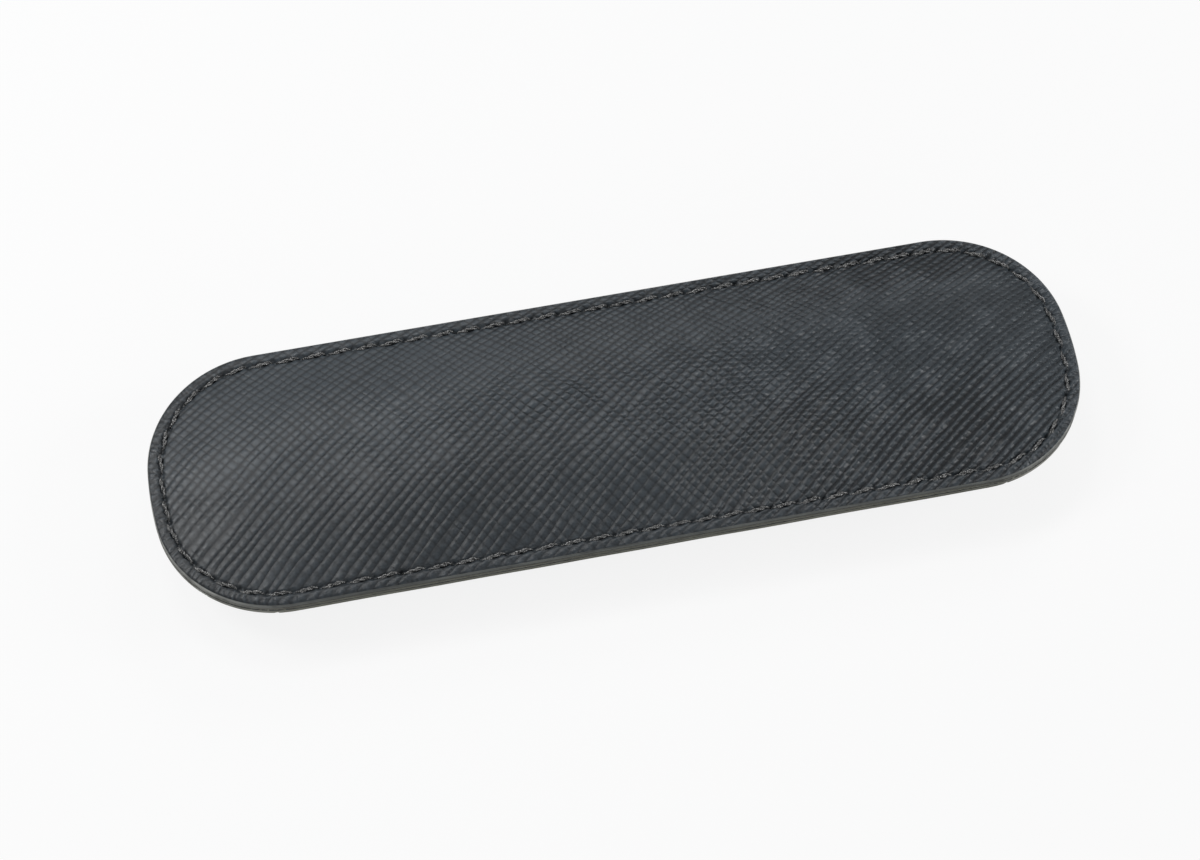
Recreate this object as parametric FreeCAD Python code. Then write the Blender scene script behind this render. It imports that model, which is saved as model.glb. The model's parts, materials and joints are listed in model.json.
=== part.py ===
import FreeCAD, Part
import math
import os

V = FreeCAD.Vector

# Fountain pen case lying on its back, in millimetres.
# X runs along the case, Y away from the viewer, Z up, with the origin under its middle on the table.

# Driving sizes
case_length = 165.0
case_width = 50.0
end_flat = 7.0
end_radius = 65.0
leather = 1.1
lining = 0.4
lining_chords = 4
seam_allowance = 4.0

front_crown = 5.2
front_flat_edge = 1.5

pouch_depth = 7.0
pouch_skirt = 0.3
pouch_end_flat = 0.4
pouch_rise_share = 0.65

mouth_length = 110.0
mouth_near_edge = -1.0
mouth_corner = 4.0

flap_length = 120.0
flap_overlap = 13.0
flap_corner = 8.0
fold_inset = 5.0
fold_strip = 7.0

magnet_length = 10.0
magnet_width = 6.0
magnet_height = 0.6
magnet_spacing = 60.0

stitch_line = 2.7
stitch_pitch = 4.65
stitch_length = 3.7
stitch_width = 0.8
stitch_height = 0.35
stitch_slant = 6.0

# Clearances
flap_clearance = 0.3
fold_gap = 0.2

# Levels and places that follow from them
flap_stack = leather + lining
back_stack = leather + lining
rim_underside = flap_stack + flap_clearance + pouch_depth
rim_middle = rim_underside + back_stack
rim_top = rim_middle + lining + leather
half_length = case_length / 2
half_width = case_width / 2
corner_radius = half_width - end_flat / 2
front_crown_reach = corner_radius - seam_allowance - front_flat_edge
fold_y = half_width - fold_inset
pouch_far = fold_y - fold_strip
pouch_near = -(half_width - seam_allowance)
pouch_end = half_length - seam_allowance
pouch_corner = (pouch_far - pouch_near - pouch_end_flat) / 2
pouch_reach = pouch_corner * pouch_rise_share
flap_free_edge = mouth_near_edge - flap_overlap


def flat_xy(point, z=0.0):
    return V(point[0], point[1], z)


def polar(centre, radius, angle):
    return (centre[0] + radius * math.cos(angle), centre[1] + radius * math.sin(angle))


def line(p, q):
    return {"kind": "line", "start": p, "end": q}


def arc(centre, radius, begin, finish):
    return {"kind": "arc", "centre": centre, "radius": radius, "begin": begin, "finish": finish}


def case_outline():
    """Lines and tangent arcs, counter-clockwise: long sides, round corners and gently bowed ends."""
    corner_y = half_width - corner_radius
    bow_x = half_length - end_radius
    corner_x = bow_x + math.sqrt((end_radius - corner_radius) ** 2 - corner_y ** 2)
    lean = math.atan2(corner_y, corner_x - bow_x)
    quarter = math.pi / 2
    return [
        line((-corner_x, -half_width), (corner_x, -half_width)),
        arc((corner_x, -corner_y), corner_radius, -quarter, -lean),
        arc((bow_x, 0.0), end_radius, -lean, lean),
        arc((corner_x, corner_y), corner_radius, lean, quarter),
        line((corner_x, half_width), (-corner_x, half_width)),
        arc((-corner_x, corner_y), corner_radius, quarter, 2 * quarter - lean),
        arc((-bow_x, 0.0), end_radius, 2 * quarter - lean, 2 * quarter + lean),
        arc((-corner_x, -corner_y), corner_radius, 2 * quarter + lean, 3 * quarter),
    ]


def pouch_outline(outset=0.0):
    """Where the pouch starts to bulge out of the flat back: a rectangle with round corners."""
    r = pouch_corner + outset
    x = pouch_end - pouch_corner
    near = pouch_near + pouch_corner
    far = pouch_far - pouch_corner
    quarter = math.pi / 2
    return [
        line((-x, near - r), (x, near - r)),
        arc((x, near), r, -quarter, 0.0),
        line((x + r, near), (x + r, far)),
        arc((x, far), r, 0.0, quarter),
        line((x, far + r), (-x, far + r)),
        arc((-x, far), r, quarter, 2 * quarter),
        line((-x - r, far), (-x - r, near)),
        arc((-x, near), r, 2 * quarter, 3 * quarter),
    ]


def outline_wire(outline, inset=0.0, z=0.0):
    edges = []
    for piece in outline:
        if piece["kind"] == "line":
            dx = piece["end"][0] - piece["start"][0]
            dy = piece["end"][1] - piece["start"][1]
            length = math.hypot(dx, dy)
            shift = V(-dy / length * inset, dx / length * inset, z)
            edges.append(Part.makeLine(flat_xy(piece["start"]) + shift, flat_xy(piece["end"]) + shift))
        else:
            radius = piece["radius"] - inset
            middle = (piece["begin"] + piece["finish"]) / 2
            ends = [polar(piece["centre"], radius, a) for a in (piece["begin"], middle, piece["finish"])]
            edges.append(Part.Arc(*[flat_xy(p, z) for p in ends]).toShape())
    return Part.Wire(edges)


def crown_curve(start, reach, height, depth, steps=2):
    """Arc from a flat rim up to a flat top, seen in section and lying depth below the skin."""
    swell = (reach ** 2 + height ** 2) / (2 * height)
    radius = swell - depth
    top = start + reach
    turn = math.acos((swell - height - depth) / radius)
    angles = [turn * (1 - k / steps) for k in range(steps + 1)]
    return [(top - radius * math.sin(a), height - swell + radius * math.cos(a)) for a in angles]


def crown_section(start, reach, height, outer, inner, chords=0):
    """Closed section of one layer between two depths below the skin, rising as an arc or in a few chords."""
    skin = crown_curve(start, reach, height, outer, chords or 2)
    back = crown_curve(start, reach, height, inner, chords or 2)
    rim_outer = (0.0, -outer)
    rim_inner = (0.0, -inner)
    outline = [rim_outer] + skin + back[::-1] + [rim_inner, rim_outer]
    if chords:
        return [list(pair) for pair in zip(outline, outline[1:])]
    return [[rim_outer, skin[0]], skin, [skin[2], back[2]], back[::-1], [back[0], rim_inner], [rim_inner, rim_outer]]


def section_face(strokes, place):
    edges = []
    for stroke in strokes:
        points = [place(s, z) for s, z in stroke]
        edges.append(Part.makeLine(*points) if len(points) == 2 else Part.Arc(*points).toShape())
    return Part.Face(Part.Wire(edges))


def swept_ring(outline, strokes):
    """The section carried round the outline: straight runs are extruded and corners revolved."""
    solids = []
    for piece in outline:
        if piece["kind"] == "line":
            run = flat_xy(piece["end"]) - flat_xy(piece["start"])
            inward = V(-run.y, run.x, 0) / run.Length
            corner = flat_xy(piece["start"])
            face = section_face(strokes, lambda s, z: corner + inward * s + V(0, 0, z))
            solids.append(face.extrude(run))
        else:
            centre = flat_xy(piece["centre"])
            out = V(math.cos(piece["begin"]), math.sin(piece["begin"]), 0)
            radius = piece["radius"]
            face = section_face(strokes, lambda s, z: centre + out * (radius - s) + V(0, 0, z))
            sweep = math.degrees(piece["finish"] - piece["begin"])
            solids.append(face.revolve(centre, V(0, 0, 1), sweep))
    return solids


def joined(solids):
    whole = solids[0].multiFuse(solids[1:]).removeSplitter()
    return whole.Solids[0] if len(whole.Solids) == 1 else whole


def plate(wire, low, high):
    face = Part.Face(wire)
    face.translate(V(0, 0, low - wire.BoundBox.ZMin))
    return face.extrude(V(0, 0, high - low))


def front_layer(outer, inner, chords=0):
    """One layer of the crowned front, between two depths below its skin."""
    strokes = crown_section(seam_allowance, front_crown_reach, front_crown, outer, inner, chords)
    ring = swept_ring(case_outline(), strokes)
    flat = outline_wire(case_outline(), seam_allowance + front_crown_reach)
    layer = joined(ring + [plate(flat, front_crown - inner, front_crown - outer)])
    layer.translate(V(0, 0, rim_top))
    return layer


def rounded_box(x0, x1, y0, y1, radius, low, high, far_round=True):
    """Upright block whose near corners, and far corners if asked, are rounded in plan."""
    block = Part.makeBox(x1 - x0, y1 - y0, high - low, V(x0, y0, low))
    upright = []
    for edge in block.Edges:
        box = edge.BoundBox
        if box.ZLength > 0.5 * (high - low) and (far_round or box.YMax < (y0 + y1) / 2):
            upright.append(edge)
    return block.makeFillet(radius, upright)


def back_layer(outer, inner, chords=0):
    """One layer of the back, all round the seam and over the pouch, with the mouth cut out."""
    strokes = crown_section(pouch_skirt, pouch_reach, pouch_depth, outer, inner, chords)
    ring = swept_ring(pouch_outline(pouch_skirt), strokes)
    flat = plate(outline_wire(pouch_outline(), pouch_reach), pouch_depth - inner, pouch_depth - outer)
    rim = plate(outline_wire(case_outline()), -inner, -outer)
    rim = rim.cut(plate(outline_wire(pouch_outline(pouch_skirt)), -inner - 1, -outer + 1))
    half = mouth_length / 2
    mouth = rounded_box(-half, half, mouth_near_edge, fold_y, mouth_corner, -rim_top, rim_top)
    layer = joined(ring + [flat, rim]).cut(mouth)
    layer = layer.mirror(V(0, 0, 0), V(0, 0, 1))
    layer.translate(V(0, 0, rim_underside))
    return layer.Solids[0]


def flap_section(outer, inner):
    """Section of the flap across the case: flat by the fold, then the form of the pouch under it."""
    gap = flap_clearance + flap_stack
    fold = fold_y - fold_gap / 2
    edges = []
    ends = []
    for depth in (outer - gap, inner - gap):
        rise = crown_curve(0.0, pouch_reach, pouch_depth, depth)
        far = [V(0, pouch_far - s, rim_underside - z) for s, z in rise]
        near = [V(0, pouch_near + s, rim_underside - z) for s, z in rise[::-1]]
        at_fold = V(0, fold, far[0].z)
        edges += [Part.makeLine(at_fold, far[0]), Part.Arc(*far).toShape()]
        edges += [Part.makeLine(far[2], near[0]), Part.Arc(*near).toShape()]
        ends.append((at_fold, near[2]))
    edges += [Part.makeLine(ends[0][0], ends[1][0]), Part.makeLine(ends[0][1], ends[1][1])]
    return Part.Face(Part.Wire(Part.__sortEdges__(edges)))


def flap_layer(outer, inner):
    half = flap_length / 2
    face = flap_section(outer, inner)
    face.translate(V(-half, 0, 0))
    sheet = face.extrude(V(flap_length, 0, 0))
    shape = rounded_box(-half, half, flap_free_edge, fold_y, flap_corner, -5.0, rim_top, far_round=False)
    return sheet.common(shape).Solids[0]


def magnet_bars(low):
    """Two thin bars side by side along the mouth, under the flat of the pouch."""
    across = (mouth_near_edge + pouch_near + pouch_reach) / 2
    bars = []
    for along in (-magnet_spacing / 2, magnet_spacing / 2):
        corner = V(along - magnet_length / 2, across - magnet_width / 2, low)
        bars.append(Part.makeBox(magnet_length, magnet_width, magnet_height, corner))
    return bars


def stitch_stations():
    """Middle and heading of each stitch, evenly spaced along the seam line."""
    wire = outline_wire(case_outline(), stitch_line)
    count = int(round(wire.Length / stitch_pitch))
    step = wire.Length / count
    stations = []
    travelled = 0.0
    number = 0
    for edge in wire.OrderedEdges:
        while (number + 0.5) * step < travelled + edge.Length:
            along = edge.getParameterByLength((number + 0.5) * step - travelled)
            ahead = edge.tangentAt(along)
            stations.append((edge.valueAt(along), math.degrees(math.atan2(ahead.y, ahead.x))))
            number += 1
        travelled += edge.Length
    return stations


def stitch(middle, heading, base, up):
    """One thread bar with chamfered flanks, lying on the leather and slanted a little to the seam."""
    half = stitch_width / 2
    crest = half * 0.45
    tall = stitch_height * up
    corners = [V(0, -half, 0), V(0, half, 0), V(0, crest, tall), V(0, -crest, tall), V(0, -half, 0)]
    bar = Part.Face(Part.makePolygon(corners)).extrude(V(stitch_length, 0, 0))
    bar.translate(V(-stitch_length / 2, 0, 0))
    bar.rotate(V(0, 0, 0), V(0, 0, 1), heading + stitch_slant)
    bar.translate(V(middle.x, middle.y, base))
    return bar


def back_level(middle):
    over_root = middle.y > 0 and abs(middle.x) < flap_length / 2
    return rim_underside - flap_stack if over_root else rim_underside


def flap_root():
    """Strip of the flap's leather that the seam holds along the far side."""
    half = flap_length / 2
    strip = rounded_box(-half, half, fold_y + fold_gap / 2, half_width, 1.0,
                        rim_underside - flap_stack, rim_underside, far_round=False)
    return strip.Solids[0]


def clear_of_root_ends(middle):
    return abs(abs(middle.x) - flap_length / 2) > stitch_length / 2 + 0.3 or middle.y < 0


front_panel = front_layer(0.0, leather)
front_lining = front_layer(leather, leather + lining, lining_chords)
pocket_panel = back_layer(0.0, leather)
pocket_lining = back_layer(leather, leather + lining, lining_chords)
flap_panel = flap_layer(0.0, leather)
flap_lining = flap_layer(leather, flap_stack)

pouch_floor = flap_stack + flap_clearance
pocket_bars = magnet_bars(pouch_floor + leather - magnet_height)
flap_bars = magnet_bars(leather - magnet_height)
pocket_panel = pocket_panel.cut(pocket_bars).Solids[0]
flap_panel = flap_panel.cut(flap_bars).Solids[0]

stations = stitch_stations()
front_bars = [stitch(p, heading, rim_top, 1) for p, heading in stations]
back_bars = [stitch(p, heading, back_level(p), -1) for p, heading in stations if clear_of_root_ends(p)]

nodes = {
    "front_panel": front_panel,
    "front_lining": front_lining,
    "pocket_panel": pocket_panel,
    "pocket_lining": pocket_lining,
    "flap_root": flap_root(),
    "pocket_magnets": Part.makeCompound(pocket_bars),
    "seam_stitches_front": Part.makeCompound(front_bars),
    "seam_stitches_back": Part.makeCompound(back_bars),
    "flap_panel": flap_panel,
    "flap_lining": flap_lining,
    "flap_magnets": Part.makeCompound(flap_bars),
}

os.makedirs("parts", exist_ok=True)
for name, shape in nodes.items():
    shape.exportStep("parts/" + name + ".step")
    print(name, shape.ShapeType, len(shape.Solids), shape.isValid(), round(shape.Volume, 1))
print("rim underside", rim_underside, "rim top", rim_top, "fold", fold_y)
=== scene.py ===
import json
import math

import bmesh
import bpy
import numpy as np
from mathutils import Matrix, Vector


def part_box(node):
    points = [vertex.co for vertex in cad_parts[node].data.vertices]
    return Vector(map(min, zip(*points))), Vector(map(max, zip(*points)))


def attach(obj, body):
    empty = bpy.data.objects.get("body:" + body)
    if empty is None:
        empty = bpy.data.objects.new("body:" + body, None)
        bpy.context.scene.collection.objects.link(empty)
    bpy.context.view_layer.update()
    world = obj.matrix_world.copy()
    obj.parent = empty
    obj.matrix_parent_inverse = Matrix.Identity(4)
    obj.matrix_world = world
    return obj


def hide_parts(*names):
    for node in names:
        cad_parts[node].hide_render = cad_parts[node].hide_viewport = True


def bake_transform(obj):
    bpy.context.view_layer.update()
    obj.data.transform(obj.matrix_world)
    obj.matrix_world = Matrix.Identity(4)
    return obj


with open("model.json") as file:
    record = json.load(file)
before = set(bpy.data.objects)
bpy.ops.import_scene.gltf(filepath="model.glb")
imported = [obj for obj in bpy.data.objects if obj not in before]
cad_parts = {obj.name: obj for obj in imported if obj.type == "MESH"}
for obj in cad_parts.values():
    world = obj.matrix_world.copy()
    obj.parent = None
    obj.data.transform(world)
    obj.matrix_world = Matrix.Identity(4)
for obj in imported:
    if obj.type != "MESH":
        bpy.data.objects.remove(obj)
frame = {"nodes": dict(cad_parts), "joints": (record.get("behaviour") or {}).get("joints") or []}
bpy.context.scene.view_settings.view_transform = "Standard"
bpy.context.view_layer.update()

MM = 0.001


def box_mm(node):
    """Low and high corner of a CAD node, in millimetres."""
    return [np.array(corner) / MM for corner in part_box(node)]


# Sizes read from the frame, in millimetres
front_low, front_high = box_mm("front_panel")
front_lining_low = box_mm("front_lining")[0]
pocket_low = box_mm("pocket_panel")[0]
flap_low, flap_high = box_mm("flap_panel")
root_low, root_high = box_mm("flap_root")
rim_top = box_mm("seam_stitches_front")[0][2]
fold_y = frame["joints"][0]["pos_m"][1] / MM

half_length = front_high[0]
half_width = front_high[1]
leather = rim_top - front_low[2]
lining = front_low[2] - front_lining_low[2]
rim_underside = root_high[2]
crown_height = front_high[2] - rim_top
pouch_depth = rim_underside - pocket_low[2]
flap_offset = pocket_low[2] - flap_low[2]

# Sizes of the form, as in the part's source
end_flat = 7.0
end_radius = 65.0
seam_allowance = 4.0
front_flat_edge = 1.5
fold_strip = 7.0
pouch_end_flat = 0.4
pouch_rise_share = 0.65
flap_corner = 8.0
stitch_line = 2.7
stitch_pitch = 4.65

corner_radius = half_width - end_flat / 2
flat_from = corner_radius - front_flat_edge
pouch_near = -(half_width - seam_allowance)
pouch_far = fold_y - fold_strip
pouch_reach = (pouch_far - pouch_near - pouch_end_flat) / 2 * pouch_rise_share

# Centres of the outline's corners and bowed ends, and the angle at which they meet
corner_y = half_width - corner_radius
bow_x = half_length - end_radius
corner_x = bow_x + math.sqrt((end_radius - corner_radius) ** 2 - corner_y ** 2)
corner_lean = math.atan2(corner_y, corner_x - bow_x)

# The seam draws the leather down at the thread and pulls it a little nearer to the edge
seam_dip = 0.5
seam_half_width = 0.45
near_seam_shift = 0.35
far_seam_shift = 0.245
hole_depth = 0.58
hole_place = 0.46
hole_radius = 0.34
pucker = 0.08
pucker_reach = 1.5
steady_dip = 0.75
thinnest_leather = 0.08

# One needle hole stands open, at this many stitches along the seam
open_hole_at = 4.1
open_hole_radius = 0.42

# The rim swells a little, bends down towards its edge and ends in a rounded lip
rim_swell = 0.04
rim_droop = 0.25
rim_mask_to = 3.4
rim_mask_fade = 0.9
lip_radius = 0.6
edge_inset = 0.05

# The crown is flatter towards the ends, its crest lies beyond the middle and its near half sags
crown_foot = 3.2
crown_spare = 0.25
crown_softness = 0.4
end_fall = 0.42
end_fall_from = 18.0
end_fall_to = 68.0
crest_y = 4.0
near_sag = 0.8
sag_full_to = 45.0
sag_fade = 30.0

# The leather lies uneven: slow swells on the crown, a smaller wobble, and waves in the flap and the back
swell_seed, swell_length, swell_height, swell_fade = 5, 46.0, 0.16, 6.0
wobble_seed, wobble_length, wobble_height = 9, 17.0, 0.06
flap_wave_seed, flap_wave_length, flap_wave_height, flap_wave_stops = 21, 34.0, 0.05, 9.0
back_wave_length = 30.0

# The flap bends over this far on each side of the fold, and its root runs on to the edge of the case
fold_half = 2.0
root_end_inset = 0.1
flap_edge_ease = 0.35
flap_grain_shift = 20.0

# The flap's inner face starts to meet the rim just before the fold, and does so over this run
joining_before = 0.4
joining_run = 1.6

# On the back, points within this many voxels of the outline are drawn onto it, and faces whose normal
# rises less than this belong to the cut edge
edge_band_voxels = 0.8
edge_normal_rise = 0.8


class Value:
    """A number or vector in a shader: operators add the node that works it out."""

    def __init__(self, shader, socket):
        self.shader = shader
        self.socket = socket

    def math(self, operation, *others):
        inputs = dict(enumerate((self, *others)))
        return self.shader.node("ShaderNodeMath", {"operation": operation}, inputs)

    def __add__(self, other):
        return self.math("ADD", other)

    __radd__ = __add__

    def __sub__(self, other):
        return self.math("SUBTRACT", other)

    def __rsub__(self, other):
        return self.shader.node("ShaderNodeMath", {"operation": "SUBTRACT"}, {0: other, 1: self})

    def __mul__(self, other):
        return self.math("MULTIPLY", other)

    __rmul__ = __mul__

    def __truediv__(self, other):
        return self.math("DIVIDE", other)

    def __pow__(self, other):
        return self.math("POWER", other)

    def sine(self):
        return self.math("SINE")

    def size(self):
        return self.math("ABSOLUTE")

    def ramp(self, low, high):
        """0 below low, 1 above high, and a smooth step between."""
        settings = {"interpolation_type": "SMOOTHSTEP"}
        inputs = {"Value": self, "From Min": low, "From Max": high}
        return self.shader.node("ShaderNodeMapRange", settings, inputs)


class Shader:
    """The nodes of a material or of the world, under construction."""

    def __init__(self, owner):
        owner.use_nodes = True
        self.owner = owner
        self.tree = owner.node_tree
        self.tree.nodes.clear()

    def node(self, kind, settings=None, inputs=None, output=0):
        """Adds a node: settings first, then its sockets as values or links. Gives one output."""
        made = self.tree.nodes.new(kind)
        for name, value in (settings or {}).items():
            setattr(made, name, value)
        for name, value in (inputs or {}).items():
            if isinstance(value, Value):
                self.tree.links.new(value.socket, made.inputs[name])
            else:
                made.inputs[name].default_value = value
        return Value(self, made.outputs[output]) if made.outputs else None

    def parts(self, vector):
        return [self.node("ShaderNodeSeparateXYZ", None, {0: vector}, axis) for axis in range(3)]

    def join(self, x, y, z):
        return self.node("ShaderNodeCombineXYZ", None, {0: x, 1: y, 2: z})

    def spot(self):
        """The point on the object, in metres."""
        return self.node("ShaderNodeTexCoord", output="Object")

    def noise(self, vector, scale, detail=2.0, roughness=0.5):
        inputs = {"Vector": vector, "Scale": scale, "Detail": detail, "Roughness": roughness}
        return self.node("ShaderNodeTexNoise", {"noise_dimensions": "3D"}, inputs)

    def blend(self, share, first, second):
        inputs = {"Factor": share, 6: first, 7: second}
        return self.node("ShaderNodeMix", {"data_type": "RGBA"}, inputs, 2)

    def bump(self, height, distance, strength=1.0):
        inputs = {"Height": height, "Distance": distance, "Strength": strength}
        return self.node("ShaderNodeBump", None, inputs)

    def surface(self, inputs):
        principled = self.node("ShaderNodeBsdfPrincipled", None, inputs)
        self.node("ShaderNodeOutputMaterial", None, {"Surface": principled})
        return self.owner


def material_shader(name):
    return Shader(bpy.data.materials.new(name))


def grain_family(shader, a, b, degrees, bend, fan, pitch, wander, skew):
    """Long ridges of uneven width with narrow grooves: 0 in a groove, 1 on a ridge."""
    drift_along, drift_across = 0.03, 0.08
    fork_along, fork_across, fork_seed, fork_share = 0.1, 0.55, 7.0, 0.75
    c, s = math.cos(math.radians(degrees)), math.sin(math.radians(degrees))
    along = a * c + b * s
    across = b * c - a * s + b * b * bend + a * b * fan
    drift = shader.noise(shader.join(along * drift_along, across * drift_across, degrees), 1.0, 1.0)
    fork = shader.noise(shader.join(along * fork_along, across * fork_across, degrees + fork_seed), 1.0)
    lines = across / pitch + (drift - 0.5) * wander + (fork - 0.5) * (wander * fork_share)
    turns = lines * math.pi
    return (turns + turns.sine() * skew).sine().size()


def grained_leather(name, light, dark):
    """Cross-grained leather: one strong family of diagonal ridges, cut into cells by a weaker one."""
    ridge_roundness, cross_roundness = 0.95, 0.9
    cross_near, cross_far = 0.62, 0.95
    cross_cut, cross_rise = 0.95, 0.12
    crease_pitch, crease_wander = 0.95, 2.0
    cell_middle = 0.5
    relief = 0.2

    # The leather's own flat coordinates in millimetres, a along the case and b across it, and its rim
    shader = material_shader(name)
    place = shader.node("ShaderNodeAttribute", {"attribute_name": "hide_place"}, output="Vector")
    a, b, rim = shader.parts(place)
    run = shader.node("ShaderNodeAttribute", {"attribute_name": "seam_run"}, output="Fac")

    # Unevenness, from slow to fine
    cloud = shader.noise(place, 0.03)
    patches = shader.noise(place, 0.07, 1.0)
    smudges = shader.noise(place, 0.17).ramp(0.3, 0.62)
    slub = shader.noise(place, 0.4)
    ticks = shader.noise(place, 2.2)

    # Regions of the case
    far_side = (b + (patches - 0.5) * 34.0).ramp(-16.0, 8.0)
    upper = (b + (patches - 0.5) * 14.0).ramp(-11.0, 5.0)
    crest = upper * (1.0 - b.ramp(11.0, 18.0))
    to_right = a.ramp(0.0, 65.0)
    left_end = 1.0 - a.ramp(-80.0, -60.0)
    right_end = a.ramp(58.0, 80.0)
    end_rim = a.size().ramp(60.0, 70.0) * rim

    # Two families of ridges make the cells
    ridges = grain_family(shader, a, b, degrees=35.5, bend=0.003, fan=0.0012,
                          pitch=1.38, wander=1.0, skew=0.12)
    ridges = ridges ** ridge_roundness
    cross = grain_family(shader, a, b, degrees=-49.0, bend=0.003, fan=0.001,
                         pitch=1.4, wander=1.3, skew=0.1)
    cross = cross ** cross_roundness
    cross_share = far_side * (cross_far - cross_near) + cross_near
    cross_share = cross_share * (a.ramp(-80.0, -10.0) * 0.3 - to_right * 0.6 + 0.7)
    cells = ridges * (1.0 - cross_share * cross_cut * (1.0 - cross)) + cross * cross_share * cross_rise

    # The rim is pressed flatter, and gathered in creases round the ends
    pressed = 1.0 - rim * 0.2 - end_rim * 0.35
    creases = ((run + (slub - 0.5) * crease_wander) * (2 * math.pi / crease_pitch)).sine() * end_rim

    # Height of the grain, which is deeper towards the right, most of all on the far side there
    near_depth = (1.0 - far_side) * 0.3
    far_depth = far_side * a.ramp(-60.0, 0.0) * 0.45
    along_depth = a.ramp(-80.0, 20.0) * 0.5 + to_right * (far_side * 1.6 + 2.6)
    deeper = near_depth + far_depth + along_depth + 0.36
    uneven = (slub * 0.9 + 0.5) * (smudges * 0.6 + 0.55)
    fine = ticks * (rim * 0.25 + 0.16) + creases * (to_right * 0.3 + 0.09)
    height = cells * uneven * pressed * deeper + fine

    # Tone: paler on the cells, with painted sheen and painted shade over the case
    # Painted sheen on the far half, on the crest towards the right and on the right end; painted shade on
    # the near half and the left end
    painted_sheen_and_shade = upper * 0.2 + to_right * (crest * 0.65 - 0.05) + right_end * 0.46 - left_end * 0.16 - 0.07
    # Random marks, plus the creases at the ends painted as light and dark lines, a painted shade; the rim is
    # paler on its near side and darker on its far side
    marks_and_crease_shade = (cloud - 0.5) * 0.6 + (ticks - 0.5) * 0.6 + creases * 0.17 + rim * (0.1 - upper * 0.15)
    contrast = (cells - cell_middle) * (far_side * 0.36 + to_right * 0.42)
    tone = (contrast + cells * 0.48 * pressed + marks_and_crease_shade + painted_sheen_and_shade + 0.16).ramp(0.0, 1.0)
    return shader.surface({
        "Base Color": shader.blend(tone, dark, light),
        "Roughness": 0.54 - cells * 0.12 + (ticks - 0.5) * 0.2,
        "Normal": shader.bump(height, relief * MM),
        "Specular IOR Level": 0.55,
    })


def cut_edge(name, light, dark):
    """The burnished cut edge of the leather, with fine layers along it and a painted highlight, pale round
    the ends.
    """
    highlight_pale = (0.5, 0.5, 0.47, 1)
    highlight_from, highlight_to = 0.057, 0.079
    shader = material_shader(name)
    x, y, z = shader.parts(shader.spot())
    layers = shader.noise(shader.join(x * 90.0, y * 90.0, z * 2600.0), 1.0, 3.0)
    blotch = shader.noise(shader.join(x * 400.0, y * 400.0, z * 400.0), 1.0)
    tone = ((layers - 0.5) * 1.2 + (blotch - 0.5) * 0.7 + 0.5).ramp(0.0, 1.0)
    # Painted highlight: the edge turns pale round both ends of the case, where it catches the light
    painted_highlight = x.size().ramp(highlight_from, highlight_to) * (blotch * 0.9 + layers * 0.5).ramp(0.35, 1.0) * 0.7
    return shader.surface({
        "Base Color": shader.blend(painted_highlight, shader.blend(tone, dark, light), highlight_pale),
        "Roughness": 0.55,
        "Normal": shader.bump(layers + blotch * 0.5, 0.05 * MM),
        "Specular IOR Level": 0.35,
    })


def suede(name, light, dark):
    """Short-napped lining with brushed patches."""
    shader = material_shader(name)
    spot = shader.spot()
    nap = shader.noise(spot, 5200.0, 3.0, 0.65)
    brushed = shader.noise(spot, 130.0, 3.0)
    tone = ((brushed - 0.5) * 1.1 + (nap - 0.5) * 0.9 + 0.5).ramp(0.0, 1.0)
    return shader.surface({
        "Base Color": shader.blend(tone, dark, light),
        "Roughness": 0.95,
        "Normal": shader.bump(nap, 0.06 * MM, 0.8),
        "Specular IOR Level": 0.1,
        "Sheen Weight": 0.25,
    })


def waxed_thread(name, light, dark):
    """Black waxed thread: fine fibres along each ply painted pale grey as glints, with a waxy glint from its
    gloss.
    """
    shader = material_shader(name)
    fibres = shader.noise(shader.spot(), 9000.0)
    return shader.surface({
        # The pale fibres are painted glints on the black thread
        "Base Color": shader.blend(fibres.ramp(0.5, 0.68), dark, light),
        "Roughness": 0.34 - fibres * 0.2,
        "Normal": shader.bump(fibres, 0.04 * MM, 0.7),
        "Specular IOR Level": 0.7,
    })


def plated_steel(name, light, dark):
    """Thin nickel plating with faint brushing."""
    shader = material_shader(name)
    stretched = {0: shader.spot(), 1: (400.0, 9000.0, 400.0)}
    brushed = shader.noise(shader.node("ShaderNodeVectorMath", {"operation": "MULTIPLY"}, stretched), 1.0)
    return shader.surface({
        "Base Color": shader.blend(brushed, dark, light),
        "Metallic": 1.0,
        "Roughness": brushed * 0.2 + 0.22,
    })


def case_outline():
    """Lines and tangent arcs of the case's outline, counter-clockwise from the near side's left end."""
    quarter = math.pi / 2
    return [
        ("line", (-corner_x, -half_width), (corner_x, -half_width)),
        ("arc", (corner_x, -corner_y), corner_radius, -quarter, -corner_lean),
        ("arc", (bow_x, 0.0), end_radius, -corner_lean, corner_lean),
        ("arc", (corner_x, corner_y), corner_radius, corner_lean, quarter),
        ("line", (corner_x, half_width), (-corner_x, half_width)),
        ("arc", (-corner_x, corner_y), corner_radius, quarter, 2 * quarter - corner_lean),
        ("arc", (-bow_x, 0.0), end_radius, 2 * quarter - corner_lean, 2 * quarter + corner_lean),
        ("arc", (-corner_x, -corner_y), corner_radius, 2 * quarter + corner_lean, 3 * quarter),
    ]


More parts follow.
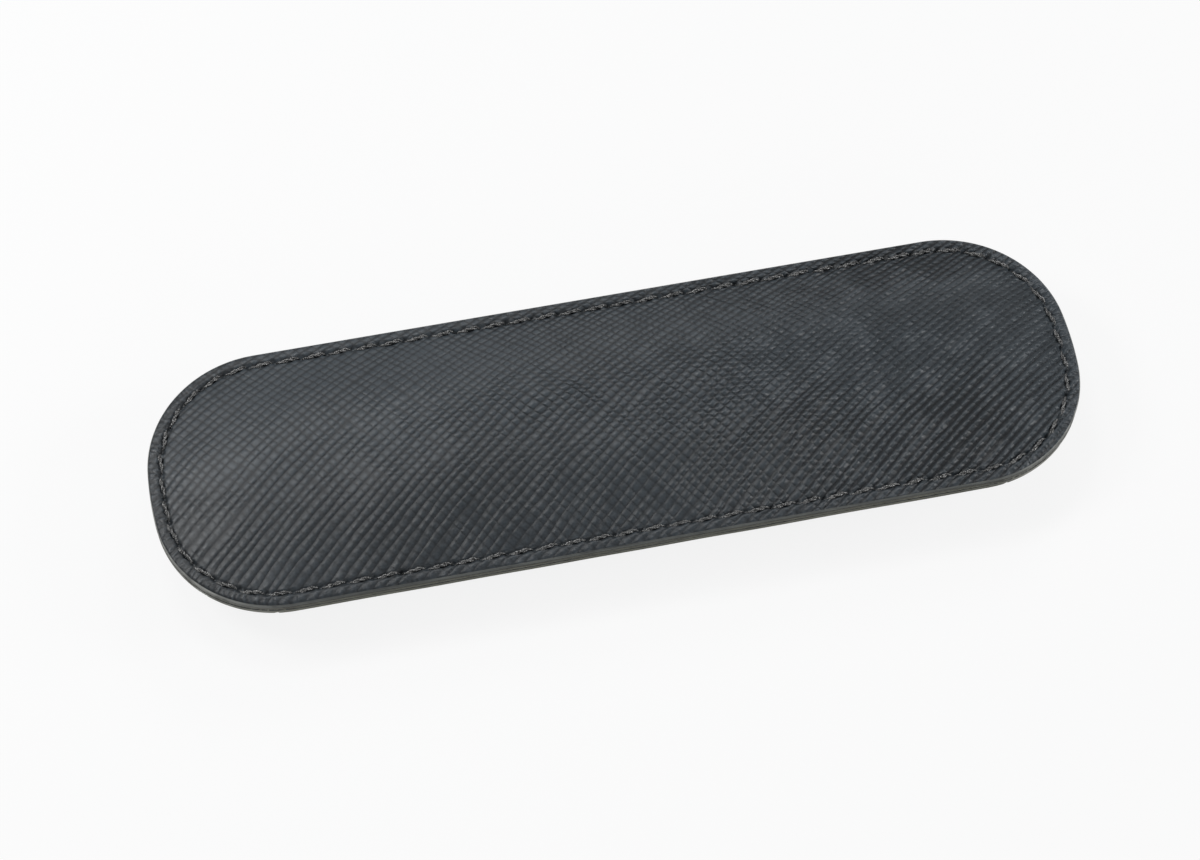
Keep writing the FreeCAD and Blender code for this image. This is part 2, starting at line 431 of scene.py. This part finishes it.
def seam_stations(shares):
    """Points on the outline and inward normals at shares of the stitch line's length, and that length."""
    outline = case_outline()
    lengths = []
    for piece in outline:
        if piece[0] == "line":
            lengths.append(math.dist(piece[1], piece[2]))
        else:
            lengths.append((piece[2] - stitch_line) * (piece[4] - piece[3]))
    ends = np.cumsum(lengths)
    distance = (np.asarray(shares) % 1.0) * ends[-1]
    which = np.minimum(np.searchsorted(ends, distance, side="right"), len(outline) - 1)
    points = np.zeros((len(distance), 2))
    inward = np.zeros((len(distance), 2))
    for k, piece in enumerate(outline):
        chosen = which == k
        share = ((distance[chosen] - (ends[k] - lengths[k])) / lengths[k])[:, None]
        if piece[0] == "line":
            start, end = np.array(piece[1]), np.array(piece[2])
            direction = (end - start) / np.linalg.norm(end - start)
            points[chosen] = start + share * (end - start)
            inward[chosen] = (-direction[1], direction[0])
        else:
            angle = piece[3] + share[:, 0] * (piece[4] - piece[3])
            spoke = np.stack([np.cos(angle), np.sin(angle)], 1)
            points[chosen] = np.array(piece[1]) + piece[2] * spoke
            inward[chosen] = -spoke
    return points, inward, ends[-1]


def inset_of(x, y):
    """How far inside the case's outline a point lies."""
    ax, ay = np.abs(x), np.abs(y)
    side = half_width - ay
    corner = corner_radius - np.hypot(ax - corner_x, ay - corner_y)
    end = end_radius - np.hypot(ax - bow_x, ay)
    slope = np.arctan2(ay, ax - bow_x)
    return np.where(ax < corner_x, side, np.where(slope < corner_lean, end, corner))


def smooth_step(t):
    """Smooth rise from 0 to 1, level at both ends."""
    t = np.clip(t, 0.0, 1.0)
    return t * t * (3 - 2 * t)


def waves(x, y, seed, longest, count=7):
    """Smooth seeded undulation of about unit height over the leather, for slow swells and sags."""
    rng = np.random.default_rng(seed)
    total = np.zeros_like(x)
    for _ in range(count):
        angle = rng.uniform(0, math.pi)
        length = longest * rng.uniform(0.45, 1.0)
        phase = rng.uniform(0, 2 * math.pi)
        total += np.sin((x * math.cos(angle) + y * math.sin(angle)) * 2 * math.pi / length + phase)
    return total / math.sqrt(count)


def crown_rise(s, start, reach, height):
    """Height of the rise from the rim over a stretch of inset: an arc that ends level, eased at its foot."""
    swell = (reach ** 2 + height ** 2) / (2 * height)
    t = np.clip(s - start, 0.0, reach)
    arc = height - swell + np.sqrt(swell ** 2 - (reach - t) ** 2)
    eased = height * smooth_step(t / reach)
    return arc * (1 - crown_softness) + eased * crown_softness


def fullness(x):
    """Share of the crown's height: the case is fullest along its middle and flatter towards both ends."""
    return 1 - end_fall * smooth_step((np.abs(x) - end_fall_from) / (end_fall_to - end_fall_from))


def sag(x, y):
    """How far the near half sinks towards a plane between the crest and the seam, less so at the ends."""
    down = np.clip((crest_y - y) / (crest_y + half_width - crown_foot), 0, 1)
    level = 1 - np.clip((np.abs(x) - sag_full_to) / sag_fade, 0, 1) ** 2
    return near_sag * np.sin(math.pi * down) * level


def seam_inset(y):
    """How far the front's thread runs inside the outline: nearer to the edge on the near side."""
    side = np.clip(y / (half_width - stitch_line), -1, 1)
    return stitch_line - np.interp(side, (-1, 1), (near_seam_shift, far_seam_shift))


def droop_at(s):
    """How far the rim bends down towards its edge."""
    return rim_droop * np.clip(1 - s / stitch_line, 0, 1) ** 2


def front_skin(s, phase, x, y):
    """Top of the front leather: lip, rim, the seam's valley with its puckers and holes, then the crown."""
    crown = crown_rise(s, crown_foot, flat_from - crown_foot, crown_height - crown_spare) * fullness(x)
    from_seam = s - seam_inset(y)
    turn = 2 * math.pi * phase
    valley = np.exp(-(from_seam / seam_half_width) ** 2)
    within = (phase % 1.0) - 0.5
    holes = np.exp(-((np.abs(within) - hole_place) * stitch_pitch / hole_radius) ** 2)
    gather = np.cos(turn) * np.exp(-(from_seam / pucker_reach) ** 2)
    swell = np.sin(np.clip(s / stitch_line, 0, 1) * math.pi) * rim_swell
    on_crown = np.clip((s - seam_allowance) / swell_fade, 0, 1)
    slow = waves(x, y, swell_seed, swell_length) * swell_height * on_crown
    wobble = waves(x, y, wobble_seed, wobble_length) * wobble_height
    dip = seam_dip * valley * (steady_dip + (1 - steady_dip) * np.cos(turn + math.pi))
    from_hole = ((phase - open_hole_at) * stitch_pitch) ** 2 + from_seam ** 2
    open_hole = np.exp(-from_hole / open_hole_radius ** 2)
    drawn = dip + hole_depth * valley * holes + open_hole + droop_at(s) + sag(x, y)
    skin = rim_top + crown + swell + pucker * gather + slow + wobble - drawn
    return np.maximum(skin, rim_top - leather + thinnest_leather)


def sheet_level(depth):
    """A plain crowned level, depth below the front's skin."""
    just_before = 0.1

    def level(s, phase, x, y):
        reach = flat_from - seam_allowance
        crown = crown_rise(s, seam_allowance, reach, crown_height - crown_spare) * fullness(x)
        return rim_top - depth + crown - sag(x, y) * (s > seam_allowance - just_before)

    return level


def keep_place(mesh, place):
    """Keeps the leather's flat coordinates on a mesh, for its grain."""
    layer = mesh.attributes.new("hide_place", "FLOAT_VECTOR", "POINT")
    layer.data.foreach_set("vector", np.asarray(place, np.float32).ravel())


def mesh_piece(name, points, faces, materials, face_material=None, place=None, run=None):
    """A mesh object from points in millimetres, with its leather coordinates kept on it."""
    mesh = bpy.data.meshes.new(name)
    mesh.from_pydata((np.asarray(points) * MM).tolist(), [], faces)
    for material in materials:
        mesh.materials.append(material)
    if face_material is not None:
        mesh.polygons.foreach_set("material_index", np.asarray(face_material, np.int32))
    mesh.polygons.foreach_set("use_smooth", np.ones(len(mesh.polygons), bool))
    if place is not None:
        keep_place(mesh, place)
    if run is not None:
        layer = mesh.attributes.new("seam_run", "FLOAT", "POINT")
        layer.data.foreach_set("value", np.asarray(run, np.float32))
    mesh.update()
    made = bpy.data.objects.new(name, mesh)
    bpy.context.scene.collection.objects.link(made)
    return made


def face_outwards(mesh, merge=0.0):
    """Turns all faces outwards, after merging points that lie closer than a distance in millimetres."""
    work = bmesh.new()
    work.from_mesh(mesh)
    if merge:
        bmesh.ops.remove_doubles(work, verts=work.verts, dist=merge * MM)
        bmesh.ops.dissolve_degenerate(work, edges=work.edges, dist=1e-7)
    bmesh.ops.recalc_face_normals(work, faces=work.faces)
    work.to_mesh(mesh)
    work.free()


def ring_faces(rows, columns):
    """Quads of rings laid one inside the next, closed round the outline."""
    k = np.arange(columns)
    n = (k + 1) % columns
    quads = []
    for r in range(rows - 1):
        a, b = r * columns, (r + 1) * columns
        quads.append(np.stack([a + k, a + n, b + n, b + k], 1))
    return np.concatenate(quads)


def pillow(name, skin, back, skin_insets, back_insets, columns, materials, edge, rounding=(), cut_rows=0):
    """Closed crowned sheet over the case's outline: rings from the middle of its back to the edge, and
    over its skin. The second material covers the edge and as many rows of its rounding as cut_rows says."""
    shares = (np.arange(columns) + 0.5) / columns
    points, inward, _ = seam_stations(shares)
    phase = shares * stitch_count
    middle_x = half_length - half_width
    middle_step = 0.25
    closing = np.linspace(0.0, 1.0, 9)[1:]
    rings, depths = [], []

    def sheet_ring(s, surface, share=0.0):
        spot = points + inward * s
        if share:
            along = np.round(np.clip(spot[:, 0], -middle_x, middle_x) / middle_step) * middle_step
            spot = spot * (1 - share) + np.stack([along, 0 * along], 1) * share
        z = surface(np.full(columns, s), phase, spot[:, 0], spot[:, 1])
        rings.append(np.column_stack([spot, z]))
        depths.append(s)

    def level_ring(s, z):
        rings.append(np.column_stack([points + inward * s, np.full(columns, z)]))
        depths.append(s)

    for share in closing[::-1]:
        sheet_ring(flat_from, back, share)
    for s in back_insets[::-1]:
        sheet_ring(s, back)
    first_edge = len(rings)
    for s, z in edge:
        level_ring(s, z)
    last_edge = len(rings)
    for s, z in rounding:
        level_ring(s, z)
    for s in skin_insets:
        sheet_ring(s, skin)
    for share in closing:
        sheet_ring(flat_from, skin, share)

    cloud = np.concatenate(rings)
    faces = ring_faces(len(rings), columns)
    row = np.repeat(np.arange(len(rings) - 1), columns)
    on_edge = (row >= first_edge - 1) & (row < last_edge - 1 + cut_rows)
    rim = np.repeat(np.clip((rim_mask_to - np.array(depths)) / rim_mask_fade, 0, 1), columns)
    place = np.column_stack([cloud[:, :2], rim])
    run = np.tile(phase * stitch_pitch, len(rings))
    made = mesh_piece(name, cloud, faces.tolist(), materials, on_edge, place, run)
    face_outwards(made.data, merge=0.02)
    return made


def to_outline(spots, band, rest):
    """Draws the points of a cut edge, within a band of the outline, onto the smooth outline."""
    x, y = spots[:, 0], spots[:, 1]
    step = 0.05
    slope_x = inset_of(x + step, y) - inset_of(x - step, y)
    slope_y = inset_of(x, y + step) - inset_of(x, y - step)
    slope = np.stack([slope_x, slope_y], 1)
    slope /= np.maximum(np.linalg.norm(slope, axis=1, keepdims=True), 1e-6)
    inset = inset_of(x, y)
    move = np.where(inset < band, inset - rest, 0.0)
    spots[:, :2] -= slope * move[:, None]


def seated_copy(node, name, materials, voxel, smooth_steps, wobble, seed, kept_share=1.0):
    """A softened copy of a CAD sheet: remeshed evenly, edges eased, with a slow unevenness."""
    made = bpy.data.objects.new(name, frame["nodes"][node].data.copy())
    made.data.materials.clear()
    bpy.context.scene.collection.objects.link(made)
    remesh = made.modifiers.new("even", "REMESH")
    remesh.mode = "VOXEL"
    remesh.voxel_size = voxel * MM
    ease = made.modifiers.new("ease", "SMOOTH")
    ease.factor = 0.5
    ease.iterations = smooth_steps
    if kept_share < 1.0:
        made.modifiers.new("thin_out", "DECIMATE").ratio = kept_share
    graph = bpy.context.evaluated_depsgraph_get()
    mesh = bpy.data.meshes.new_from_object(made.evaluated_get(graph))
    made.modifiers.clear()
    made.data = mesh
    mesh.name = name
    spots = np.zeros(len(mesh.vertices) * 3)
    mesh.vertices.foreach_get("co", spots)
    spots = spots.reshape(-1, 3) / MM
    spots[:, 2] += waves(spots[:, 0], spots[:, 1], seed, back_wave_length) * wobble
    to_outline(spots, voxel * edge_band_voxels, edge_inset)
    mesh.vertices.foreach_set("co", (spots * MM).ravel())
    for material in materials:
        mesh.materials.append(material)
    keep_place(mesh, spots * (1, 1, 0))
    mesh.polygons.foreach_set("use_smooth", np.ones(len(mesh.polygons), bool))
    mesh.update()
    return made


def edge_faces(made, band):
    """Gives the faces on the outer cut edge the second material."""
    mesh = made.data
    centres = np.zeros(len(mesh.polygons) * 3)
    normals = np.zeros(len(mesh.polygons) * 3)
    mesh.polygons.foreach_get("center", centres)
    mesh.polygons.foreach_get("normal", normals)
    centres = centres.reshape(-1, 3) / MM
    upright = np.abs(normals.reshape(-1, 3)[:, 2]) < edge_normal_rise
    chosen = (inset_of(centres[:, 0], centres[:, 1]) < band) & upright
    mesh.polygons.foreach_set("material_index", chosen.astype(np.int32))


def flap_path(depth, root):
    """Section of the flap, as y and z, at a depth from its outer face: from its free edge over the pouch
    to the fold, and on to the seam where the root belongs to it."""
    swell = (pouch_reach ** 2 + pouch_depth ** 2) / (2 * pouch_depth)
    radius = swell + flap_offset - depth
    centre_z = rim_underside - pouch_depth + swell
    near_y, far_y = pouch_near + pouch_reach, pouch_far - pouch_reach
    level = rim_underside - flap_offset + depth
    start = math.asin((near_y - flap_low[1]) / radius)
    finish = math.acos((centre_z - level) / radius)

    def bulge(y, angle):
        return (y + radius * math.sin(angle), centre_z - radius * math.cos(angle))

    curve = [bulge(near_y, -angle) for angle in np.linspace(start, 0, 10)]
    curve += [(y, centre_z - radius) for y in np.linspace(near_y, far_y, 9)[1:]]
    curve += [bulge(far_y, angle) for angle in np.linspace(0, finish, 26)[1:]]
    curve += [(y, level) for y in np.linspace(curve[-1][0], fold_y - fold_half, 8)[1:]]
    if root:
        lift = root_low[2] - (rim_underside - flap_offset)
        for y in np.linspace(fold_y - fold_half, fold_y + fold_half, 18)[1:]:
            curve.append((y, level + lift * smooth_step((y - fold_y + fold_half) / (2 * fold_half))))
        under_rim = np.linspace(fold_y + fold_half, half_width - root_end_inset, 7)[1:]
        curve += [(y, level + lift) for y in under_rim]
    return np.array(curve)


def flap_half(v):
    """Half length of the flap at a distance from its free edge, with rounded corners."""
    short = np.clip(flap_corner - v, 0.0, flap_corner)
    return flap_high[0] - (flap_corner - np.sqrt(flap_corner ** 2 - short ** 2))


def flap_sheet(name, outer_depth, inner_depth, root, materials, trim=0.0, columns=150):
    """A sheet bent to the flap's section, with eased edges all round. Its materials are those of the
    outside, the inside and the edge."""
    outer, inner = flap_path(outer_depth, root), flap_path(inner_depth, root)
    if root:
        # Past the fold the lining ends, and the leather itself meets the rim
        joining = smooth_step((inner[:, 0] - fold_y + joining_before) / joining_run)
        inner[:, 1] += (root_high[2] - root_low[2] - inner_depth) * joining
    rows = len(outer)
    run = np.concatenate([[0.0], np.cumsum(np.linalg.norm(np.diff(outer, axis=0), axis=1))])
    run_grid = np.repeat(run[:, None], columns, 1)
    along = (flap_half(run) - trim)[:, None] * np.linspace(-1, 1, columns)[None, :]
    layers = []
    for path in (outer, inner):
        y = np.repeat(path[:, :1], columns, 1)
        z = np.repeat(path[:, 1:], columns, 1)
        layers.append(np.stack([along, y, z], 2))
    middle = (layers[0] + layers[1]) / 2
    loose = run_grid <= run[-1] - flap_wave_stops
    for layer in layers:
        for border in (np.s_[0], np.s_[-1], np.s_[:, 0], np.s_[:, -1]):
            layer[border] += (middle[border] - layer[border]) * flap_edge_ease
        lift = np.abs(waves(layer[..., 0], run_grid, flap_wave_seed, flap_wave_length) * flap_wave_height)
        layer[..., 2] += np.where(loose, lift, 0.0)
    points = np.concatenate([layer.reshape(-1, 3) for layer in layers])
    count = rows * columns
    index = np.arange(count).reshape(rows, columns)
    lower = np.stack([index[:-1, :-1], index[1:, :-1], index[1:, 1:], index[:-1, 1:]], -1).reshape(-1, 4)
    upper = lower[:, ::-1] + count
    border = np.concatenate([index[0, :], index[1:, -1], index[-1, -2::-1], index[-2:0:-1, 0]])
    following = np.roll(border, -1)
    side = np.stack([border, following, following + count, border + count], 1)
    faces = np.concatenate([lower, upper, side])
    material = np.repeat([0, 1, 2], [len(lower), len(upper), len(side)])
    flat = np.stack([layers[0][..., 0], run_grid - flap_grain_shift, 0 * run_grid], 2).reshape(-1, 3)
    made = mesh_piece(name, points, faces.tolist(), materials, material, np.concatenate([flat, flat]))
    face_outwards(made.data)
    return made


def twisted_stitch(length, thickness, rise, plies=2, turns=1.6, steps=18, sides=7):
    """One stitch along X: plies wound round each other, arched a little and diving into its holes."""
    ply_radius = thickness * 0.29
    winding_y, winding_z = thickness * 0.24, thickness * 0.2
    dive = 0.55
    points, faces = [], []
    for ply in range(plies):
        base = len(points)
        for k in range(steps + 1):
            t = k / steps
            from_middle = abs(2 * t - 1)
            arch = rise * (1 - from_middle ** 2) - dive * from_middle ** 8
            turn = 2 * math.pi * (t * turns + ply / plies)
            y, z = winding_y * math.cos(turn), arch + winding_z * math.sin(turn)
            for j in range(sides):
                angle = 2 * math.pi * j / sides
                ring_y, ring_z = ply_radius * math.cos(angle), ply_radius * math.sin(angle)
                points.append(((t - 0.5) * length, y + ring_y, z + ring_z))
        for k in range(steps):
            a, b = base + k * sides, base + (k + 1) * sides
            for j in range(sides):
                n = (j + 1) % sides
                faces.append((a + j, a + n, b + n, b + j))
        faces.append(tuple(base + j for j in range(sides))[::-1])
        faces.append(tuple(base + steps * sides + j for j in range(sides)))
    return np.array(points), faces


def stitch_row(name, places, material, length, thickness, rise, seed):
    """All the stitches of one seam: each place is a point, a heading, and the direction off the leather."""
    slant_degrees, slant_spread = 10.0, 2.5
    shortest, longest = 0.95, 1.04
    rng = np.random.default_rng(seed)
    base, faces = twisted_stitch(length, thickness, rise)
    points, all_faces = [], []
    for number, (spot, ahead, off) in enumerate(places):
        ahead = np.asarray(ahead) / np.linalg.norm(ahead)
        aside = np.cross(off, ahead)
        slant = math.radians(slant_degrees + rng.uniform(-slant_spread, slant_spread))
        along = ahead * math.cos(slant) + aside * math.sin(slant)
        across = np.cross(off, along)
        stretch = rng.uniform(shortest, longest)
        points.append(spot + base[:, :1] * stretch * along + base[:, 1:2] * across + base[:, 2:] * off)
        all_faces += [tuple(i + number * len(base) for i in face) for face in faces]
    return mesh_piece(name, np.concatenate(points), all_faces, [material])


# Materials
charcoal = grained_leather("charcoal_cross_grain", (0.0487, 0.0598, 0.0697, 1), (0.0107, 0.0133, 0.0159, 1))
lip_edge = cut_edge("painted_lip", (0.15, 0.158, 0.147, 1), (0.06, 0.064, 0.061, 1))
core_edge = cut_edge("glue_line", (0.16, 0.16, 0.13, 1), (0.06, 0.06, 0.05, 1))
back_edge = cut_edge("raw_back_edge", (0.2, 0.2, 0.16, 1), (0.085, 0.085, 0.068, 1))
lining_suede = suede("charcoal_suede", (0.075, 0.075, 0.073, 1), (0.028, 0.028, 0.028, 1))
thread = waxed_thread("waxed_black_thread_painted_glints", (0.55, 0.55, 0.54, 1), (0.004, 0.004, 0.0045, 1))
steel = plated_steel("nickel_plate", (0.6, 0.6, 0.59, 1), (0.42, 0.42, 0.42, 1))

# Front leather and its lining
stitch_count = int(round(seam_stations([0.0])[2] / stitch_pitch))
fine_insets = np.concatenate([np.arange(lip_radius, 5.0, 0.2), np.arange(5.0, flat_from, 0.6), [flat_from]])
plain_insets = np.array([0.3, 2.0, 4.0, 6.0, 9.0, 12.0, 16.0, flat_from])
lip_low = front_low[2]
lip_top = rim_top - droop_at(lip_radius)
lip = [(0.25, lip_low), (0.05, lip_low + 0.1), (0.0, lip_low + 0.3), (0.0, lip_top - lip_radius)]
lip_round = []
for angle in (0.4, 0.8, 1.2):
    lip_round.append((lip_radius * (1 - math.cos(angle)), lip_top - lip_radius * (1 - math.sin(angle))))
front = pillow("front_leather", front_skin, sheet_level(leather), fine_insets, plain_insets,
               columns=stitch_count * 16, materials=[charcoal, lip_edge],
               edge=lip, rounding=lip_round, cut_rows=2)
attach(front, "case")
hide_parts("front_panel")

lining_edge = [(edge_inset, front_lining_low[2]), (edge_inset, front_low[2])]
front_inside = pillow("front_suede", sheet_level(leather), sheet_level(leather + lining), plain_insets,
                      plain_insets, columns=stitch_count * 4, materials=[lining_suede, core_edge],
                      edge=lining_edge)
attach(front_inside, "case")
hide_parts("front_lining")

# Back of the case
pocket = seated_copy("pocket_panel", "pocket_leather", [charcoal, back_edge],
                     voxel=0.4, smooth_steps=3, wobble=0.05, seed=13)
edge_faces(pocket, band=0.45)
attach(pocket, "case")
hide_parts("pocket_panel")

pocket_inside = seated_copy("pocket_lining", "pocket_suede", [lining_suede, back_edge],
                            voxel=0.26, smooth_steps=1, wobble=0.0, seed=14, kept_share=0.3)
edge_faces(pocket_inside, band=0.3)
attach(pocket_inside, "case")
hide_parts("pocket_lining")

# Flap: one leather from the seam over the fold to its free edge, and its lining
flap = flap_sheet("flap_leather", outer_depth=0.0, inner_depth=leather, root=True,
                  materials=[charcoal, lining_suede, back_edge])
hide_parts("flap_panel", "flap_root")
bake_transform(flap)

flap_inside = flap_sheet("flap_suede", outer_depth=leather, inner_depth=leather + lining, root=False,
                         materials=[lining_suede] * 3, trim=0.15)
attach(flap_inside, "flap")
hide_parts("flap_lining")

# Thread of the seam, front and back. On the back it steps over the flap's root, and skips the root's ends
thread_depth = 0.42
back_thread_lift = 0.1
root_cover = 1.0
root_end_gap = 2.2
seam, seam_inward, _ = seam_stations((np.arange(stitch_count) + 0.5) / stitch_count)
back_points = seam + seam_inward * stitch_line
front_points = seam + seam_inward * seam_inset(back_points[:, 1])[:, None]
front_places = []
back_places = []
for front_point, back_point, inward in zip(front_points, back_points, seam_inward):
    ahead = np.array([inward[1], -inward[0], 0.0])
    front_places.append(((*front_point, rim_top - thread_depth), ahead, (0, 0, 1)))
    on_far_side = back_point[1] > 0
    past_root = abs(back_point[0]) - flap_high[0]
    if not (on_far_side and abs(past_root) < root_end_gap):
        level = root_low[2] if on_far_side and past_root < -root_cover else rim_underside
        back_places.append(((*back_point, level + back_thread_lift), -ahead, (0, 0, -1)))
front_thread = stitch_row("seam_thread_front", front_places, thread,
                          length=4.5, thickness=0.72, rise=0.26, seed=3)
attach(front_thread, "case")
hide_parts("seam_stitches_front")
back_thread = stitch_row("seam_thread_back", back_places, thread,
                         length=4.1, thickness=0.66, rise=0.1, seed=4)
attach(back_thread, "case")
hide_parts("seam_stitches_back")

# The concealed magnets keep their CAD form
for node in ("pocket_magnets", "flap_magnets"):
    frame["nodes"][node].data.materials.clear()
    frame["nodes"][node].data.materials.append(steel)

# Camera, from the fit of the outline to the photograph
tilt = math.radians(61.29)
turn = math.radians(11.232)
away = 570.4
focal_pixels = 3249.7
offset = Vector((3.006, 1.913, 0.0))
photo_width = 1200
sensor_width = 36.0
spin = Matrix.Rotation(-turn, 4, "Z")
right = Vector((1.0, 0.0, 0.0))
up = Vector((0.0, math.sin(tilt), math.cos(tilt)))
back = Vector((0.0, -math.cos(tilt), math.sin(tilt)))
eye = spin @ (back * away - offset) + Vector((0, 0, (rim_top + rim_underside) / 2))
camera = bpy.data.objects.new("camera", bpy.data.cameras.new("camera"))
camera.data.sensor_width = sensor_width
camera.data.lens = focal_pixels / photo_width * sensor_width
camera.data.clip_start = 0.01
axes = Matrix([spin @ v for v in (right, up, back)]).transposed()
camera.matrix_world = Matrix.Translation(eye * MM) @ axes.to_4x4()
bpy.context.scene.collection.objects.link(camera)
bpy.context.scene.camera = camera

# White floor, with the shadow of the case near it
floor_reach = 4.0
floor_level = -0.0002
shadow_to = 0.1
white_from = 0.4
white_at_shadow = 0.86
paper_colour = (0.86, 0.86, 0.86, 1)
floor_shader = material_shader("white_floor")
paper = floor_shader.node("ShaderNodeBsdfDiffuse", None, {"Color": paper_colour})
glow = floor_shader.node("ShaderNodeEmission", None, {"Color": (1, 1, 1, 1), "Strength": 1.0})
seen = floor_shader.node("ShaderNodeLightPath", output="Is Camera Ray")
length = {"operation": "LENGTH"}
distance = floor_shader.node("ShaderNodeVectorMath", length, {0: floor_shader.spot()}, "Value")
white_share = distance.ramp(shadow_to, white_from) * (1 - white_at_shadow) + white_at_shadow
mixed = floor_shader.node("ShaderNodeMixShader", None, {0: seen * white_share, 1: paper, 2: glow})
floor_shader.node("ShaderNodeOutputMaterial", None, {"Surface": mixed})
floor_corners = [(x * floor_reach, y * floor_reach, 0) for x, y in ((-1, -1), (1, -1), (1, 1), (-1, 1))]
floor_mesh = bpy.data.meshes.new("floor")
floor_mesh.from_pydata(floor_corners, [], [(0, 1, 2, 3)])
floor_mesh.materials.append(floor_shader.owner)
floor = bpy.data.objects.new("floor", floor_mesh)
bpy.context.scene.collection.objects.link(floor)
floor.location.z = floor_level

# The surroundings light softly and are white where the camera sees past the floor
sky = Shader(bpy.data.worlds.new("studio"))
soft = sky.node("ShaderNodeBackground", None, {"Color": (0.93, 0.96, 1.0, 1), "Strength": 0.22})
white = sky.node("ShaderNodeBackground", None, {"Color": (1, 1, 1, 1), "Strength": 1.0})
seen = sky.node("ShaderNodeLightPath", output="Is Camera Ray")
mixed = sky.node("ShaderNodeMixShader", None, {0: seen, 1: soft, 2: white})
sky.node("ShaderNodeOutputWorld", None, {"Surface": mixed})
bpy.context.scene.world = sky.owner


def softbox(name, place, size, watts):
    """A rectangular lamp that faces the case."""
    data = bpy.data.lights.new(name, "AREA")
    data.shape = "RECTANGLE"
    data.size, data.size_y = size
    data.energy = watts
    lamp = bpy.data.objects.new(name, data)
    lamp.location = place
    lamp.rotation_euler = (-Vector(place)).to_track_quat("-Z", "Y").to_euler()
    bpy.context.scene.collection.objects.link(lamp)


softbox("near_softbox", (-0.3, 0.12, 0.35), (0.15, 0.15), 0.75)
softbox("top_softbox", (-0.15, 0.5, 0.85), (0.3, 0.2), 1.9)
softbox("back_softbox", (0.45, 0.8, 0.6), (0.4, 0.3), 2.0)
softbox("right_softbox", (0.84, -0.1, 0.35), (0.3, 0.3), 2.8)
softbox("fill_softbox", (0.2, -0.8, 0.25), (0.7, 0.3), 1.2)
